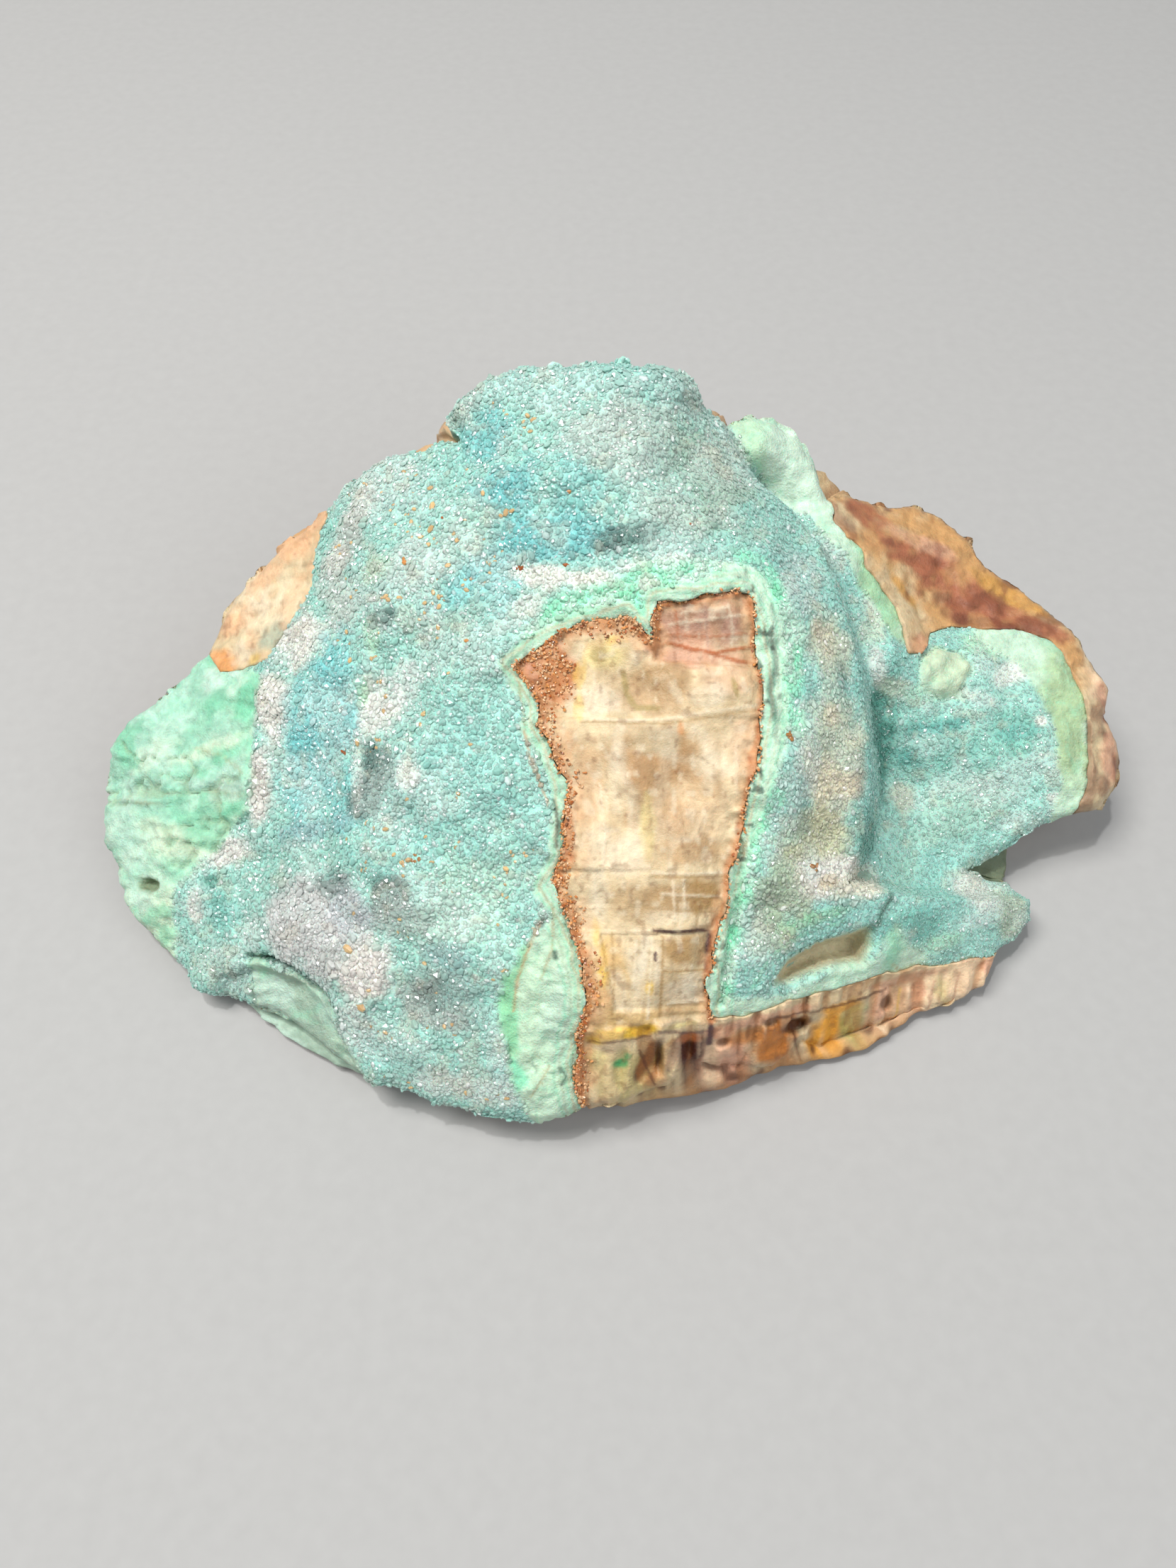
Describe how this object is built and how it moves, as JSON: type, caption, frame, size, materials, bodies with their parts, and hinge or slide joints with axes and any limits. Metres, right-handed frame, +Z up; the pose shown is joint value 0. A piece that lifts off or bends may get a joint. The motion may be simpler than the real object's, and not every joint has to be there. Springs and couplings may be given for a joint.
{
  "type": "druzy hemimorphite specimen",
  "caption": "Hand specimen of blue-green druzy hemimorphite crust over tan and iron-brown calcite rock, with a broken window on its leaning face, resting on a flat base.",
  "frame": {"origin": "centre of the specimen's box at its base, on the surface that it rests on", "axes": "+Z up, +X to the right as the display face is seen, +Y towards the high back"},
  "size_m": [0.0747, 0.0504, 0.0292],
  "materials": {
    "rock": "broken calcite, tan to honey, stained iron brown and ochre",
    "druse": "fine glassy blue-green crystals over chalky mint crust"
  },
  "bodies": {
    "root": {"matrix": "rock", "druzy_crust": "druse"}
  },
  "joints": []
}
